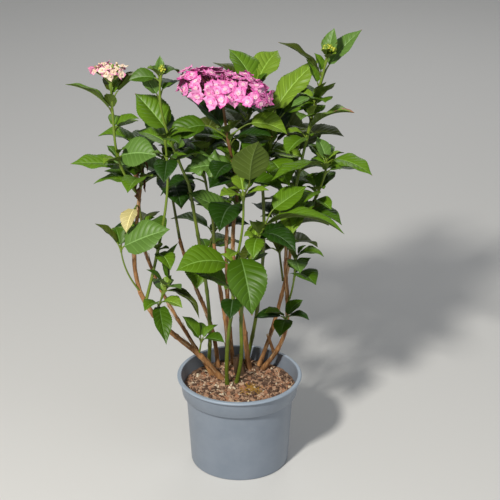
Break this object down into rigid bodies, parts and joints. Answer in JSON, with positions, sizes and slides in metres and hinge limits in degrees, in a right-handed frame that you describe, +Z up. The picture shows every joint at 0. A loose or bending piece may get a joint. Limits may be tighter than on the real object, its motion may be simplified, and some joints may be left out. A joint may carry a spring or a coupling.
{
  "type": "potted hydrangea shrub",
  "caption": "Leggy young mophead hydrangea in a round nursery pot, with arching canes, broad toothed leaves, an open pink flower head and a small cream one.",
  "frame": {"origin": "middle of the pot's flat underside", "axes": "+Z up, -Y towards the side that the plant is seen from, +X to that viewer's right"},
  "size_m": [0.4334, 0.3001, 0.6798],
  "materials": {
    "pot": "satin blue-grey moulded plastic",
    "compost": "crumbly brown bark and fibre compost",
    "bark": "tan woody cane with flaking bark",
    "green_stem": "smooth green stem",
    "foliage": "fresh green leaf with pale raised veins",
    "dead_leaf": "dry papery tan leaf",
    "pink_petals": "soft bright pink petal",
    "cream_petals": "soft cream petal tinged with pink"
  },
  "bodies": {
    "root": {"pot": "pot", "compost": "compost", "left_cane": "bark", "left_cane_top": "bark", "left_back_cane": "bark", "old_stump": "bark", "centre_cane": "bark", "inner_cane": "bark", "right_cane": "bark", "green_stem_a": "green_stem", "green_stem_b": "green_stem", "green_stem_c": "green_stem", "green_stem_d": "green_stem", "rear_left_cane": "bark", "rear_middle_cane": "bark", "rear_right_cane": "bark", "upper_middle_leaves": "foliage", "green_shoot_a": "foliage", "green_shoot_b": "foliage", "centre_leaves": "foliage", "inner_left_leaves": "foliage", "left_foot_leaves": "foliage", "left_low_leaves": "foliage", "left_thin_stalk_leaves": "foliage", "left_green_shoot": "foliage", "left_top_leaves": "foliage", "left_dead_leaf": "dead_leaf", "young_flower_shoot": "foliage", "left_back_leaves": "foliage", "mid_left_leaves": "foliage", "right_low_leaves": "foliage", "right_side_leaves": "foliage", "right_middle_leaves": "foliage", "right_top_leaves": "foliage", "rear_left_leaves": "foliage", "rear_left_side_leaves": "foliage", "rear_middle_leaves": "foliage", "rear_right_leaves": "foliage", "rear_right_side_leaves": "foliage", "pink_flower_head": "pink_petals", "young_flower_head": "cream_petals"}
  },
  "joints": []
}
